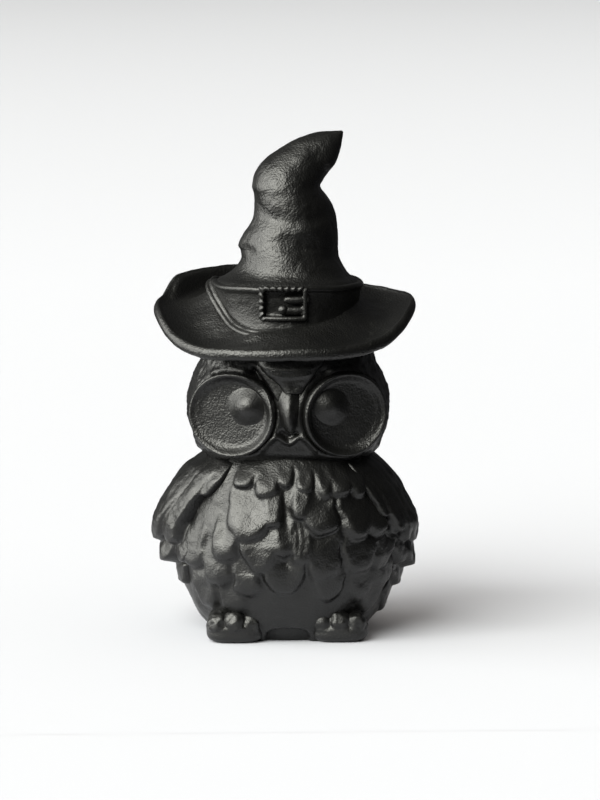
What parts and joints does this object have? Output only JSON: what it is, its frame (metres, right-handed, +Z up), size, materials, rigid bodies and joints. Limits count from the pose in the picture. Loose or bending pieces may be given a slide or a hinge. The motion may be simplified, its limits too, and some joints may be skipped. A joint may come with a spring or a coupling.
{
  "type": "owl figurine",
  "caption": "Small free-standing owl figurine in a bent witch's hat, cast in dark semi-matt resin, with round dished eyes, scaled chest feathers and folded wings.",
  "frame": {"origin": "on the surface that the owl stands on, under the middle of its overall box", "axes": "+Z up, along the figurine's height; the owl faces -Y; +X towards the owl's own left side"},
  "size_m": [0.042, 0.0376, 0.0791],
  "materials": {
    "resin_body": "black cast resin, satin on the feather tips, fine grain",
    "resin_grained": "black cast resin with a leathery, orange-peel grain",
    "resin_smooth": "black cast resin, smoother and a little glossier"
  },
  "bodies": {
    "root": {"body": "resin_body", "head": "resin_body", "brow": "resin_body", "beak": "resin_smooth", "eye_dish_left": "resin_grained", "eye_dish_right": "resin_grained", "pupil_left": "resin_smooth", "pupil_right": "resin_smooth", "wing_left": "resin_body", "wing_right": "resin_body", "tail": "resin_body", "foot_left": "resin_smooth", "foot_right": "resin_smooth", "hat_brim": "resin_grained", "hat_crown": "resin_grained", "hat_band": "resin_smooth", "buckle_frame": "resin_smooth", "buckle_prong": "resin_smooth"}
  },
  "joints": []
}
